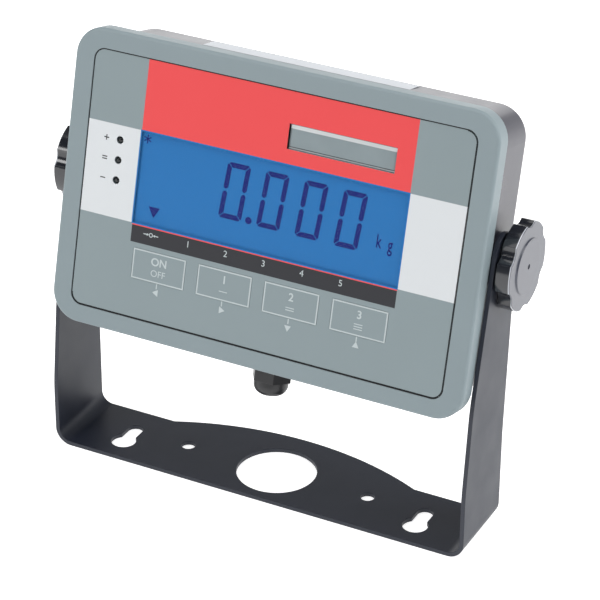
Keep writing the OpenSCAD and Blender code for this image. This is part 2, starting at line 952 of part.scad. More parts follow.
module power_socket() {
    color([0.1, 0.1, 0.11]) face_frame()
        union() {
            difference() {
                union() {
                    downwards(gland_inside, socket_u)
                        cylinder(gland_seat - gland_inside + socket_nut_t, d = socket_d, $fn = small);
                    downwards(gland_seat, socket_u)
                        cylinder(socket_nut_t, r = socket_nut_af / 2 / cos(30), $fn = 6);
                }
                downwards(gland_inside, socket_u)
                    cylinder(gland_seat - gland_inside + socket_nut_t + over, d = socket_bore_d, $fn = small);
            }
            downwards(gland_inside - socket_body[1], socket_u)
                translate([-socket_body[0] / 2, -socket_body[2] / 2, 0])
                    cube([socket_body[0], socket_body[2], socket_body[1]]);
            // centre pin
            downwards(gland_inside - over, socket_u)
                cylinder(gland_seat - gland_inside + over, d = socket_pin_d, $fn = small);
        }
}

// Cable gland

dome_r = 5;

module cable_gland_body() {
    color([0.09, 0.09, 0.1]) face_frame()
        difference() {
            union() {
                downwards(gland_seat) cylinder(collar_h, r = gland_af / 2 / cos(30), $fn = 6);
                downwards(gland_top)
                    cylinder(gland_seat - gland_top + thread_len, d = thread_d, $fn = small);
            }
            downwards(gland_top - over)
                cylinder(gland_seat - gland_top + thread_len + 2 * over,
                         r = thread_d / 2 - seal_wall, $fn = small);
            downwards(gland_seat + thread_len - seal_len / 2)
                cylinder(seal_len, r = seal_bore_d / 2 + seal_wall + fit_gap, $fn = small);
        }
}

module cable_gland_locknut() {
    color([0.09, 0.09, 0.1]) face_frame()
        downwards(gland_inside - locknut_t)
            difference() {
                cylinder(locknut_t, r = gland_af / 2 / cos(30), $fn = 6);
                translate([0, 0, -over])
                    cylinder(locknut_t + 2 * over, r = thread_d / 2 + fit_gap, $fn = small);
            }
}

module cable_gland_seal() {
    color([0.16, 0.16, 0.16]) face_frame()
        downwards(gland_seat + thread_len - seal_len / 2)
            difference() {
                cylinder(seal_len, r = seal_bore_d / 2 + seal_wall, $fn = small);
                translate([0, 0, -over])
                    cylinder(seal_len + 2 * over, d = seal_bore_d, $fn = small);
            }
}

module cable_gland_nut() {
    color([0.09, 0.09, 0.1]) face_frame()
        downwards(gland_seat)
            difference() {
                union() {
                    translate([0, 0, collar_h + nut_gap])
                        cylinder(nut_hex_h, r = gland_af / 2 / cos(30), $fn = 6);
                    rotate_extrude($fn = small)
                        polygon(concat(
                            [[0, collar_h + nut_gap], [gland_dome_d / 2, collar_h + nut_gap]],
                            arc([gland_dome_d / 2 - dome_r, gland_out - dome_r], dome_r, 0, 90),
                            [[0, gland_out]]
                        ));
                }
                // thread, then room for the seal, then the mouth
                translate([0, 0, collar_h])
                    cylinder(thread_len - collar_h + nut_gap, r = thread_d / 2 + fit_gap, $fn = small);
                translate([0, 0, collar_h])
                    cylinder(thread_len + seal_len / 2 - collar_h + nut_gap,
                             r = seal_bore_d / 2 + seal_wall + fit_gap, $fn = small);
                cylinder(gland_out + over, r = seal_bore_d / 2 + nut_mouth_gap, $fn = small);
            }
}

// Clamp on each side: friction ring, washer, knob and stud

module friction_ring() {
    on_axis(boss_out)
        difference() {
            cylinder(ring_t, d = boss_d, $fn = fine);
            translate([0, 0, -over]) cylinder(ring_t + 2 * over, d = ring_bore, $fn = small);
        }
}

module friction_ring_right() { color([0.1, 0.1, 0.1]) friction_ring(); }
module friction_ring_left() { color([0.1, 0.1, 0.1]) mirror([1, 0, 0]) friction_ring(); }

module knob_washer() {
    on_axis(arm_out)
        difference() {
            cylinder(washer_t, d = washer_d, $fn = small);
            translate([0, 0, -over]) cylinder(washer_t + 2 * over, d = stud_hole_d, $fn = small);
        }
}

module knob_washer_right() { color([0.6, 0.61, 0.63]) knob_washer(); }
module knob_washer_left() { color([0.6, 0.61, 0.63]) mirror([1, 0, 0]) knob_washer(); }

// lobed outline: scallops cut out of a circle
scallop_r = (scallop_w * scallop_w / 4 + scallop_depth * scallop_depth) / (2 * scallop_depth);

module knob_outline() {
    difference() {
        circle(knob_d / 2, $fn = fine);
        for (i = [0 : knob_lobes - 1])
            rotate(i * 360 / knob_lobes)
                translate([knob_d / 2 - scallop_depth + scallop_r, 0]) circle(scallop_r, $fn = fine);
    }
}

module knob_section() {
    r = knob_d / 2;
    top = knob_rim + knob_crown;
    polygon([
        [0, 0], [r, 0], [r, knob_rim - knob_chamfer], [r - knob_chamfer, knob_rim],
        [r * crown_share + crown_slope, knob_rim], [r * crown_share, top], [0, top]
    ]);
}

module knob(turn) {
    on_axis(knob_start)
        rotate(turn)
            difference() {
                intersection() {
                    linear_extrude(knob_rim + knob_crown) knob_outline();
                    rotate_extrude($fn = fine) knob_section();
                }
                // hollow back round the hub
                translate([0, 0, -over])
                    difference() {
                        cylinder(knob_hollow + over,
                                 r = knob_d / 2 - scallop_depth - knob_skirt, $fn = small);
                        cylinder(knob_hollow + over, r = knob_hub_r, $fn = small);
                    }
                // seat of the stud, and the dimple on the face
                translate([0, 0, -over])
                    cylinder(stud_in_knob + over, r = stud_d / 2 + fit_gap, $fn = small);
                translate([0, 0, knob_rim + knob_crown - dimple_depth])
                    cylinder(dimple_depth + over, d = dimple_d, $fn = small);
            }
}

module knob_right() { color([0.2, 0.21, 0.23]) knob(knob_turn_right); }
module knob_left() { color([0.2, 0.21, 0.23]) mirror([1, 0, 0]) knob(knob_turn_left); }

module knob_stud() {
    on_axis(boss_out - stud_grip)
        cylinder(knob_start + stud_in_knob - boss_out + stud_grip, d = stud_d, $fn = small);
}

module knob_stud_right() { color([0.75, 0.76, 0.78]) knob_stud(); }
module knob_stud_left() { color([0.75, 0.76, 0.78]) mirror([1, 0, 0]) knob_stud(); }

bracket();
front_bezel();
front_label();
display_window();
lcd_panel();
backlight();
lcd_frame();
contact_strips();
card_window();
data_card();
status_lamps();
key_1();
key_2();
key_3();
key_4();
key_switches();
main_board();
board_parts();
capacitors();
buzzer();
terminal_block();
terminal_screws();
power_socket();
board_screws();
rear_housing();
housing_gasket();
housing_screws();
boss_inserts();
cable_gland_body();
cable_gland_nut();
cable_gland_seal();
cable_gland_locknut();
friction_ring_right();
friction_ring_left();
knob_washer_right();
knob_washer_left();
knob_right();
knob_left();
knob_stud_right();
knob_stud_left();
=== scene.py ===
import json
from math import cos, radians, sin, tan

import bmesh
import bpy
from mathutils import Matrix, Vector


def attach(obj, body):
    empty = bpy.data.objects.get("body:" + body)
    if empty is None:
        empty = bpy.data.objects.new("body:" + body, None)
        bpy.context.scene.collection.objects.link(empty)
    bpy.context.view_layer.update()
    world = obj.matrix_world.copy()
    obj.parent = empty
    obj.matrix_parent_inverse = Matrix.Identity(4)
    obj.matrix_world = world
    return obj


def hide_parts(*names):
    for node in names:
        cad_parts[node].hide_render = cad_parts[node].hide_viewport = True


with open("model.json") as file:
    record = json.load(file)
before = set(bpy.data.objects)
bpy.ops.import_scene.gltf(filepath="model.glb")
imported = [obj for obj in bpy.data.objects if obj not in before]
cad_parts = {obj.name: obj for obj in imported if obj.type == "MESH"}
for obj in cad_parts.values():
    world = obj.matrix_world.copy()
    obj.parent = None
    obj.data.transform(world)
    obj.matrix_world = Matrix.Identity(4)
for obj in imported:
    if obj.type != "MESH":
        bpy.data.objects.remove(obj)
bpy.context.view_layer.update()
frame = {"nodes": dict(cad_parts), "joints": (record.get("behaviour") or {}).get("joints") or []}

mm = 0.001
white = (1.0, 1.0, 1.0, 1.0)
scene = bpy.context.scene
nodes = frame["nodes"]
joints = {joint["name"]: joint for joint in frame["joints"]}

# the face's own axes: u to the right, v up the face, inward into the housing
pivot = Vector(joints["tilt"]["pos_m"])
inward = Vector(joints["key_1_press"]["axis"]).normalized()
faceRight = Vector((1, 0, 0))
faceUp = faceRight.cross(inward)
faceSetup = {"pivotDepth": 28.0, "printDepth": 0.3, "inkThickness": 0.04}
faceOrigin = pivot - inward * faceSetup["pivotDepth"] * mm


# from a flat drawing (x right, y up, z towards the reader, in mm) to a place on the face
def facePlace(u=0.0, v=0.0, depth=0.0):
    axes = Matrix((faceRight, faceUp, -inward)).transposed().to_4x4()
    spot = faceOrigin + (faceRight * u + faceUp * v + inward * depth) * mm
    return Matrix.Translation(spot) @ axes @ Matrix.Scale(mm, 4)


# lowest and highest corners of a CAD node, in the drawing's own axes and mm
def nodeSpan(name):
    toDrawing = facePlace().inverted()
    places = [toDrawing @ vert.co for vert in nodes[name].data.vertices]
    lows = [min(place[axis] for place in places) for axis in range(3)]
    highs = [max(place[axis] for place in places) for axis in range(3)]
    return Vector(lows), Vector(highs)


# shader helpers

# a colour from 0 to 255 as the eye sees it, made linear for the shader
def linearColour(red, green, blue):
    shares = [level / 255 for level in (red, green, blue)]
    linear = [share / 12.92 if share < 0.04045 else ((share + 0.055) / 1.055) ** 2.4 for share in shares]
    return (*linear, 1.0)


def objectPlace(tree):
    return tree.nodes.new("ShaderNodeTexCoord").outputs["Object"]


def splitAxes(tree, source):
    split = tree.nodes.new("ShaderNodeSeparateXYZ")
    tree.links.new(source, split.inputs["Vector"])
    return split.outputs


# Object coordinates turned to the face: X is to the right, Z up the face and Y inward from it
def faceAxes(tree):
    turn = tree.nodes.new("ShaderNodeMapping")
    lean = faceUp.angle(Vector((0, 0, 1)))
    turn.inputs["Rotation"].default_value = (lean, 0, 0)
    turn.inputs["Location"].default_value = -(Matrix.Rotation(lean, 3, "X") @ faceOrigin)
    tree.links.new(objectPlace(tree), turn.inputs["Vector"])
    return splitAxes(tree, turn.outputs["Vector"])


# takes start to low and end to high; start may be the larger of the two
def addRange(tree, source, start, end, low=0.0, high=1.0, curve="SMOOTHSTEP"):
    if start > end:
        start, end, low, high = end, start, high, low
    share = tree.nodes.new("ShaderNodeMapRange")
    share.interpolation_type = curve
    limits = {"From Min": start, "From Max": end, "To Min": low, "To Max": high}
    for socketName, limit in limits.items():
        share.inputs[socketName].default_value = limit
    tree.links.new(source, share.inputs["Value"])
    return share.outputs["Result"]


# 0 before start and 1 after end, both in mm
def stepMask(tree, source, start, end):
    return addRange(tree, source, start * mm, end * mm)


# 1 between low and high, in mm
def bandMask(tree, source, low, high, soft=0.04):
    return combine(tree, "MULTIPLY", stepMask(tree, source, low - soft, low + soft),
                   stepMask(tree, source, high + soft, high - soft))


# 1 inside a rectangle on the face, in mm
def boxMask(tree, axes, left, right, foot, top):
    return combine(tree, "MULTIPLY", bandMask(tree, axes["X"], left, right),
                   bandMask(tree, axes["Z"], foot, top))


# chains a math node over sockets or plain numbers
def combine(tree, kind, *values):
    result = values[0]
    for value in values[1:]:
        step = tree.nodes.new("ShaderNodeMath")
        step.operation = kind
        for place, item in enumerate((result, value)):
            if isinstance(item, (int, float)):
                step.inputs[place].default_value = item
            else:
                tree.links.new(item, step.inputs[place])
        result = step.outputs["Value"]
    return result


mixSockets = {"RGBA": (6, 7, 2), "FLOAT": (2, 3, 0)}  # a Mix node's first, second and result


# brings a second colour or number into one of the shader's sockets where the mask is 1
def mixIn(tree, socketName, mask, value):
    socket = tree.nodes["Principled BSDF"].inputs[socketName]
    mix = tree.nodes.new("ShaderNodeMix")
    mix.data_type = "RGBA" if socket.type == "RGBA" else "FLOAT"
    first, second, result = mixSockets[mix.data_type]
    if socket.links:
        tree.links.new(socket.links[0].from_socket, mix.inputs[first])
    else:
        mix.inputs[first].default_value = socket.default_value
    mix.inputs[second].default_value = value
    tree.links.new(mask, mix.inputs["Factor"])
    tree.links.new(mix.outputs[result], socket)


# the first shader where the share is 0, the second where it is 1
def mixShaders(tree, share, first, second):
    mix = tree.nodes.new("ShaderNodeMixShader")
    tree.links.new(share, mix.inputs["Fac"])
    tree.links.new(first, mix.inputs[1])
    tree.links.new(second, mix.inputs[2])
    return mix.outputs["Shader"]


# finishes

# what a finish has unless its own look says otherwise; edge and grainHeight are in mm
plainLook = {
    "metal": 0.0, "ior": 1.5, "specular": 0.5, "coat": 0.0, "coatRough": 0.1, "alpha": 1.0,
    "cloud": 0.0, "cloudScale": 40.0, "cloudDetail": 4.0, "noiseLow": 0.3, "noiseHigh": 0.7,
    "smudge": 0.0, "smudgeScale": 55.0, "smudgeDetail": 5.0, "leastRough": 0.02,
    "edge": 0.0, "edgeSamples": 6,
    "grain": 0.0, "grainScale": 1500.0, "grainDetail": 3.0, "grainHeight": 0.05,
}
lookSockets = {
    "Base Color": "colour", "Roughness": "rough", "Metallic": "metal", "IOR": "ior", "Alpha": "alpha",
    "Specular IOR Level": "specular", "Coat Weight": "coat", "Coat Roughness": "coatRough",
}


def addNoise(tree, scale, detail):
    noise = tree.nodes.new("ShaderNodeTexNoise")
    noise.inputs["Scale"].default_value = scale
    noise.inputs["Detail"].default_value = detail
    tree.links.new(objectPlace(tree), noise.inputs["Vector"])
    return noise.outputs["Fac"]


# slow change of colour over the surface
def addCloud(tree, look):
    ramp = tree.nodes.new("ShaderNodeValToRGB")
    ends = ((look["noiseLow"], 1 - look["cloud"]), (look["noiseHigh"], 1 + look["cloud"]))
    for stop, (position, share) in zip(ramp.color_ramp.elements, ends):
        stop.position = position
        stop.color = (*(min(1.0, level * share) for level in look["colour"][:3]), 1.0)
    tree.links.new(addNoise(tree, look["cloudScale"], look["cloudDetail"]), ramp.inputs["Fac"])
    return ramp.outputs["Color"]


# gloss that is a little uneven from handling
def addSmudge(tree, look):
    noise = addNoise(tree, look["smudgeScale"], look["smudgeDetail"])
    glossiest = max(look["leastRough"], look["rough"] - look["smudge"])
    return addRange(tree, noise, look["noiseLow"], look["noiseHigh"], glossiest,
                    look["rough"] + look["smudge"], curve="LINEAR")


# rounds the edges that the light catches
def addSoftEdges(tree, look):
    soft = tree.nodes.new("ShaderNodeBevel")
    soft.samples = look["edgeSamples"]
    soft.inputs["Radius"].default_value = look["edge"] * mm
    return soft.outputs["Normal"]


# fine grain, on top of the softened edges where there are any
def addGrain(tree, look, normal):
    bump = tree.nodes.new("ShaderNodeBump")
    bump.inputs["Strength"].default_value = look["grain"]
    bump.inputs["Distance"].default_value = look["grainHeight"] * mm
    tree.links.new(addNoise(tree, look["grainScale"], look["grainDetail"]), bump.inputs["Height"])
    if normal:
        tree.links.new(normal, bump.inputs["Normal"])
    return bump.outputs["Normal"]


def newFinish(name, ownLook):
    look = {**plainLook, **ownLook}
    material = bpy.data.materials.new(name)
    material.use_nodes = True
    tree = material.node_tree
    sockets = tree.nodes["Principled BSDF"].inputs
    for socketName, key in lookSockets.items():
        sockets[socketName].default_value = look[key]
    if look["cloud"]:
        tree.links.new(addCloud(tree, look), sockets["Base Color"])
    if look["smudge"]:
        tree.links.new(addSmudge(tree, look), sockets["Roughness"])
    normal = addSoftEdges(tree, look) if look["edge"] else None
    if look["grain"]:
        normal = addGrain(tree, look, normal)
    if normal:
        tree.links.new(normal, sockets["Normal"])
    return material


def dress(material, *names):
    for name in names:
        mesh = nodes[name].data
        mesh.materials.clear()
        mesh.materials.append(material)


# drawing helpers: flat shapes in mm, later given thickness

def addPatch(bm, points):
    bm.faces.new([bm.verts.new((x, y, 0)) for x, y in points])


def addBar(bm, x, y, width, height, turn=0.0):
    place = Matrix.Translation((x, y, 0)) @ Matrix.Rotation(radians(turn), 4, "Z")
    size = Matrix.Diagonal((width, height, 1, 1))
    bmesh.ops.create_grid(bm, x_segments=1, y_segments=1, size=0.5, matrix=place @ size)


def addDisc(bm, x, y, radius, sides=40, turn=0.0):
    place = Matrix.Translation((x, y, 0)) @ Matrix.Rotation(radians(turn), 4, "Z")
    bmesh.ops.create_circle(bm, cap_ends=True, segments=sides, radius=radius, matrix=place)


# a flat ring or arc, spun from a short radial edge
def addRing(bm, x, y, radius, width, steps, start=0.0, sweep=360.0):
    aim = Vector((cos(radians(start)), sin(radians(start)), 0))
    centre = Vector((x, y, 0))
    inner = bm.verts.new(centre + aim * (radius - width / 2))
    outer = bm.verts.new(centre + aim * (radius + width / 2))
    edge = bm.edges.new((inner, outer))
    whole = abs(sweep) >= 360
    bmesh.ops.spin(bm, geom=[inner, outer, edge], cent=centre, axis=(0, 0, 1), dvec=(0, 0, 0),
                   angle=radians(sweep), steps=steps, use_merge=whole, use_duplicate=False)


def addFrame(bm, x, y, width, height, line):
    for side in (-1, 1):
        addBar(bm, x, y + side * (height - line) / 2, width, line)
        addBar(bm, x + side * (width - line) / 2, y, line, height - 2 * line)


# plain signs in Blender's own font, made a mesh before they are placed
def addText(bm, words, x, y, size, stretch=1.0, weight=0.0):
    curve = bpy.data.curves.new("words", "FONT")
    curve.body = words
    curve.size = size
    curve.offset = weight
    curve.align_x = "CENTER"
    curve.align_y = "CENTER"
    holder = bpy.data.objects.new("words", curve)
    scene.collection.objects.link(holder)
    bpy.context.view_layer.update()
    flat = bpy.data.meshes.new_from_object(holder)
    before = set(bm.verts)
    bm.from_mesh(flat)
    fresh = [vert for vert in bm.verts if vert not in before]
    place = Matrix.Translation((x, y, 0)) @ Matrix.Diagonal((stretch, 1, 1, 1))
    bmesh.ops.transform(bm, matrix=place, verts=fresh)
    bpy.data.objects.remove(holder)
    bpy.data.curves.remove(curve)
    bpy.data.meshes.remove(flat)


# gives flat faces a thickness, towards the reader
def thicken(bm, thickness, weldDistance=0.0005):
    bmesh.ops.remove_doubles(bm, verts=bm.verts, dist=weldDistance)
    faces = list(bm.faces)
    for face in faces:
        if face.normal.z < 0:
            face.normal_flip()
    grown = bmesh.ops.extrude_face_region(bm, geom=faces, use_keep_orig=True)
    tops = [item for item in grown["geom"] if isinstance(item, bmesh.types.BMVert)]
    bmesh.ops.translate(bm, vec=(0, 0, thickness), verts=tops)
    bmesh.ops.recalc_face_normals(bm, faces=bm.faces)


# puts a drawing in its place and makes it a piece that rides on a body
def finishPiece(name, bm, material, body, place, smoothBelow=35.0):
    bmesh.ops.transform(bm, matrix=place, verts=bm.verts)
    for edge in bm.edges:
        edge.smooth = len(edge.link_faces) == 2 and edge.calc_face_angle(0.0) < radians(smoothBelow)
    for face in bm.faces:
        face.smooth = True
    mesh = bpy.data.meshes.new(name)
    bm.to_mesh(mesh)
    bm.free()
    mesh.materials.append(material)
    piece = bpy.data.objects.new(name, mesh)
    scene.collection.objects.link(piece)
    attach(piece, body)
    return piece


# ink on the face
def printPiece(name, bm, material, body, depth=faceSetup["printDepth"]):
    thicken(bm, faceSetup["inkThickness"])
    finishPiece(name, bm, material, body, facePlace(depth=depth))


# bracket

bracketLook = {
    "colour": linearColour(35, 40, 53), "specular": 0.47, "rough": 0.45, "smudge": 0.04, "cloud": 0.04,
    "cloudScale": 30.0, "edge": 0.35, "grain": 0.35, "grainScale": 1800.0, "grainHeight": 0.06,
}
dress(newFinish("powderCoat", bracketLook), "bracket")
print("bracket dressed")

# bezel and rear housing

bezelLook = {
    "colour": linearColour(140, 154, 159), "rough": 0.46, "smudge": 0.03, "cloud": 0.015,
    "cloudScale": 25.0, "edge": 0.3, "grain": 0.25, "grainScale": 2200.0, "grainHeight": 0.04,
}
# colour, reach and depths in mm of the painted shade in the bezel's groove and card pocket
shadeSetup = {"colour": linearColour(10, 12, 14), "reach": 1.2, "from": 0.35, "to": 0.5}
housingLook = {
    "colour": linearColour(50, 50, 64), "specular": 0.65, "rough": 0.3, "smudge": 0.03, "cloud": 0.02,
    "cloudScale": 20.0, "edge": 0.3, "grain": 0.05, "grainScale": 1600.0, "grainHeight": 0.02,
}


# painted deep shade in the groove round the label and on the left wall of the card's pocket
def bezelMaterial(setup):
    material = newFinish("bezelPlastic", bezelLook)
    tree = material.node_tree
    axes = faceAxes(tree)
    reach = setup["reach"]
    deep = stepMask(tree, axes["Y"], setup["from"], setup["to"])
    low, high = nodeSpan("front_label")
    outer = boxMask(tree, axes, low.x - reach, high.x + reach, low.y - reach, high.y + reach)
    inner = boxMask(tree, axes, low.x + reach, high.x - reach, low.y + reach, high.y - reach)
    groove = combine(tree, "SUBTRACT", outer, inner)
    low, high = nodeSpan("data_card")
    pocketWall = boxMask(tree, axes, low.x - reach, low.x, low.y - reach, high.y + reach)
    # the bezel's colour is darkened in both places as painted shade
    for shaded in (groove, pocketWall):
        mixIn(tree, "Base Color", combine(tree, "MULTIPLY", deep, shaded), setup["colour"])
    return material


dress(bezelMaterial(shadeSetup), "front_bezel")
dress(newFinish("housingPlastic", housingLook), "rear_housing")

# strip on the housing's top wall, whose draft it follows; front and back are depths behind the face
stripSetup = {
    "left": -55.5, "right": 48.5, "front": 28.5, "back": 39.6, "height": 65.55, "draft": 1.0,
    "thickness": 0.12,
    "look": {"colour": linearColour(186, 191, 198), "rough": 0.35, "cloud": 0.01, "grain": 0.1},
}


def makeTopStrip(setup):
    bm = bmesh.new()
    addBar(bm, (setup["left"] + setup["right"]) / 2, 0, setup["right"] - setup["left"],
           setup["back"] - setup["front"])
    thicken(bm, setup["thickness"])
    middle = (setup["front"] + setup["back"]) / 2
    topTurn = Matrix.Rotation(radians(setup["draft"] - 90), 4, "X")
    finishPiece("topStrip", bm, newFinish("stripPaper", setup["look"]), "indicator",
                facePlace(0, setup["height"], middle) @ topTurn)


makeTopStrip(stripSetup)
print("housing dressed")

# front label: colour fields in face coordinates, with redTop beyond the label's upper edge

labelLook = {
    "colour": linearColour(140, 154, 158), "rough": 0.38, "smudge": 0.03, "cloud": 0.012,
    "cloudScale": 20.0, "grain": 0.2, "grainScale": 2600.0, "grainHeight": 0.03,
}
labelSetup = {
    "red": linearColour(240, 74, 77), "black": linearColour(32, 33, 40),
    "white": linearColour(224, 228, 231), "left": -66.85, "right": 67.1, "redTop": 100.0, "redFoot": 27.2,
    "lineTop": -16.1, "lineFoot": -16.95, "stripFoot": -24.95,
}


def labelMaterial(setup):
    material = newFinish("printedLabel", labelLook)
    tree = material.node_tree
    axes = faceAxes(tree)
    left, right = setup["left"], setup["right"]
    aside = combine(tree, "SUBTRACT", 1.0, bandMask(tree, axes["X"], left, right))
    fields = {
        "white": combine(tree, "MULTIPLY", aside,
                         bandMask(tree, axes["Z"], setup["lineTop"], setup["redFoot"])),
        "red": boxMask(tree, axes, left, right, setup["lineFoot"], setup["redTop"]),
        "black": boxMask(tree, axes, left, right, setup["stripFoot"], setup["lineFoot"]),
    }
    for colour, mask in fields.items():
        mixIn(tree, "Base Color", mask, setup[colour])
    return material


dress(labelMaterial(labelSetup), "front_label")

# corner radius, width and finish of the dark line painted as shade along the label's edge
rimShadeSetup = {
    "radius": 5.0, "line": 0.3, "steps": 16,
    "look": {"colour": linearColour(16, 18, 20), "rough": 0.6, "specular": 0.2, "cloud": 0.03},
}


# painted shade: a dark line along the label's edge at the right and the foot, widening the groove's shade
# there
def makeLabelRim(setup):
    low, high = nodeSpan("front_label")
    radius, line = setup["radius"], setup["line"]
    bm = bmesh.new()
    addBar(bm, high.x - line / 2, (low.y + high.y) / 2, line, high.y - low.y - 2 * radius)
    addBar(bm, (low.x + high.x) / 2, low.y + line / 2, high.x - low.x - 2 * radius, line)
    corners = ((high.x - radius, high.y - radius, 0), (high.x - radius, low.y + radius, -90),
               (low.x + radius, low.y + radius, 180))
    for x, y, start in corners:
        addRing(bm, x, y, radius - line / 2, line, setup["steps"], start, sweep=90)
    printPiece("labelRimShade", bm, newFinish("paintedRimShade", setup["look"]), "indicator")


makeLabelRim(rimShadeSetup)

# signs printed on the label

whiteInk = newFinish("whiteInk", {"colour": linearColour(196, 206, 208), "rough": 0.4, "cloud": 0.02})
blackInk = newFinish("blackInk", {"colour": linearColour(30, 30, 34), "rough": 0.4, "cloud": 0.02})
lampSigns = {"x": -84.6, "pitch": 9.45, "middle": 10.9, "arm": 2.6, "line": 0.5, "gap": 1.1}


# minus, equals and plus, one beside each lamp
def makeLampSigns(setup):
    x, arm, line = setup["x"], setup["arm"], setup["line"]
    minusY, equalsY, plusY = [setup["middle"] + step * setup["pitch"] for step in (-1, 0, 1)]
    bm = bmesh.new()
    for y in (minusY, plusY):
        addBar(bm, x, y, arm, line)
    for side in (-1, 1):
        addBar(bm, x, equalsY + side * setup["gap"] / 2, arm, line)
        addBar(bm, x, plusY + side * (arm + line) / 4, line, (arm - line) / 2)
    printPiece("lampSigns", bm, blackInk, "indicator")


makeLampSigns(lampSigns)

stripSigns = {
    "first": -56.6, "pitch": 19.3, "numbers": 5, "height": -20.0, "size": 4.2, "ring": 0.85,
    "ringSteps": 24, "line": 0.4, "bar": 1.9, "barFrom": 2.9, "head": 0.75, "headFrom": 1.75,
}


# the usual sign for a steady zero: two arrows at a ring
def addZeroSign(bm, x, y, setup):
    addRing(bm, x, y, setup["ring"], setup["line"], setup["ringSteps"])
    for side in (-1, 1):
        addBar(bm, x + side * setup["barFrom"], y, setup["bar"], setup["line"])
        addDisc(bm, x + side * setup["headFrom"], y, setup["head"], sides=3, turn=side * 90)


def makeStripSigns(setup):
    first, height = setup["first"], setup["height"]
    bm = bmesh.new()
    addZeroSign(bm, first, height, setup)
    for number in range(1, setup["numbers"] + 1):
        addText(bm, str(number), first + number * setup["pitch"], height, setup["size"])
    printPiece("stripSigns", bm, whiteInk, "indicator")


makeStripSigns(stripSigns)
print("label printed")

# display: blue field, dark digits

lcdLook = {
    "colour": linearColour(52, 122, 188), "rough": 0.4, "specular": 0.05, "cloud": 0.015,
    "cloudScale": 15.0,
}
windowLook = {"colour": (0.1, 0.3, 0.6, 1), "rough": 0.12, "alpha": 0.03, "smudge": 0.04}
inkLook = {"colour": linearColour(38, 38, 116), "rough": 0.4, "specular": 0.05, "cloud": 0.02}
dress(newFinish("blueField", lcdLook), "lcd_panel")
dress(newFinish("clearWindow", windowLook), "display_window")

digitSetup = {
    "width": 11.7, "height": 26.1, "bar": 2.35, "gap": 0.32, "gapTurn": 45.0, "middleGap": 1.0,
    "corner": 1.3, "tip": 0.8, "slant": 4.8, "pitch": 19.3, "first": -17.46, "count": 4, "centre": 9.1,
    "depth": 1.28,
}
signSetup = {
    "dotAt": (-9.0, -2.4), "dot": 1.65, "arrowAt": (-56.9, -8.75), "arrow": 3.4,
    "starAt": (-63.9, 23.6), "star": 4.2, "starLine": 0.55, "starTurns": (0, 60, 120),
    "unitsAt": {"k": (55.0, 2.4), "g": (60.7, 2.0)}, "unit": 8.8, "unitStretch": 0.6, "unitWeight": 0.12,
}


# the six lit bars of a nought, slanted about its own middle
def addNought(bm, x, y, setup):
    wide, high = setup["width"] / 2, setup["height"] / 2
    bar, corner, tip, rest = setup["bar"], setup["corner"], setup["tip"], setup["middleGap"] / 2
    seam = setup["gap"] / 2 * cos(radians(setup["gapTurn"]))
    lean = tan(radians(setup["slant"]))
    top = [(wide - corner, high), (wide - corner / 2 - seam, high - corner / 2 + seam),
           (wide - bar - 2 * seam, high - bar)]
    side = [(wide, high - corner), (wide - corner / 2 + seam, high - corner / 2 - seam),
            (wide - bar, high - bar - 2 * seam), (wide - bar, rest + tip), (wide - bar + tip, rest),
            (wide - tip, rest), (wide, rest + tip)]
    upper = [top + [(-across, along) for across, along in reversed(top)]]
    upper += [[(out * across, along) for across, along in side] for out in (-1, 1)]
    for up in (-1, 1):
        for patch in upper:
            addPatch(bm, [(x + across + up * along * lean, y + up * along) for across, along in patch])


def makeSegments(digits, signs):
    bm = bmesh.new()
    for step in range(digits["count"]):
        addNought(bm, digits["first"] + step * digits["pitch"], digits["centre"], digits)
    addDisc(bm, *signs["dotAt"], signs["dot"])
    addDisc(bm, *signs["arrowAt"], signs["arrow"], sides=3, turn=180)
    for turn in signs["starTurns"]:
        addBar(bm, *signs["starAt"], signs["starLine"], signs["star"], turn)
    for letter, (x, y) in signs["unitsAt"].items():
        addText(bm, letter, x, y, signs["unit"], signs["unitStretch"], signs["unitWeight"])
    printPiece("litSegments", bm, newFinish("segmentInk", inkLook), "indicator",
               digits["depth"])


makeSegments(digitSetup, signSetup)

fieldSetup = {"over": 0.3, "line": 0.7}


# the blue field runs out to the label, over the fine gap round the window
def makeFieldEdge(setup):
    low, high = nodeSpan("display_window")
    middle, span = (low + high) / 2, high - low
    bm = bmesh.new()
    addFrame(bm, middle.x, middle.y, span.x + 2 * setup["over"], span.y + 2 * setup["over"], setup["line"])
    printPiece("fieldEdge", bm, newFinish("fieldInk", lcdLook), "indicator")


makeFieldEdge(fieldSetup)
print("display drawn")

# keys: printed frame and plain signs, on a film like the label's

keySetup = {
    "width": 27.2, "height": 14.1, "line": 0.6, "upper": 2.5, "lower": 2.9, "size": 5.2, "small": 4.4,
    "weight": 0.09, "bar": 4.2, "barLine": 0.4, "barPitch": 1.15, "tick": 2.4, "tickLine": 0.5,
    "tickGap": 0.3, "arrow": 1.9, "arrowDrop": 11.55, "arrowTurns": (90, -90, 180, 0),
}
keyLook = {**labelLook, "cloud": 0.0, "edge": 0.15}
keyNames = ["key_%d" % number for number in range(1, 5)]
dress(newFinish("keyFilm", keyLook), *keyNames)


def keyCentre(name):
    low, high = nodeSpan(name)
    return (low.x + high.x) / 2, (low.y + high.y) / 2


# the first key says ON and OFF, the others have a plain number and as many bars
def addKeySign(bm, count, x, y, setup):
    upper, lower = y + setup["upper"], y - setup["lower"]
    addText(bm, str(count) if count else "ON", x, upper, setup["size"], weight=setup["weight"])
    if not count:
        addText(bm, "OFF", x, lower, setup["small"])
    for bar in range(count):
        addBar(bm, x, lower + (bar - (count - 1) / 2) * setup["barPitch"], setup["bar"], setup["barLine"])


# each key's print moves with its button
def makeKeyPrint(name, count, setup):
    x, y = keyCentre(name)
    bm = bmesh.new()
    addFrame(bm, x, y, setup["width"], setup["height"], setup["line"])
    addKeySign(bm, count, x, y, setup)
    printPiece(name.replace("key", "keyPrint"), bm, whiteInk, name.replace("key", "button"))


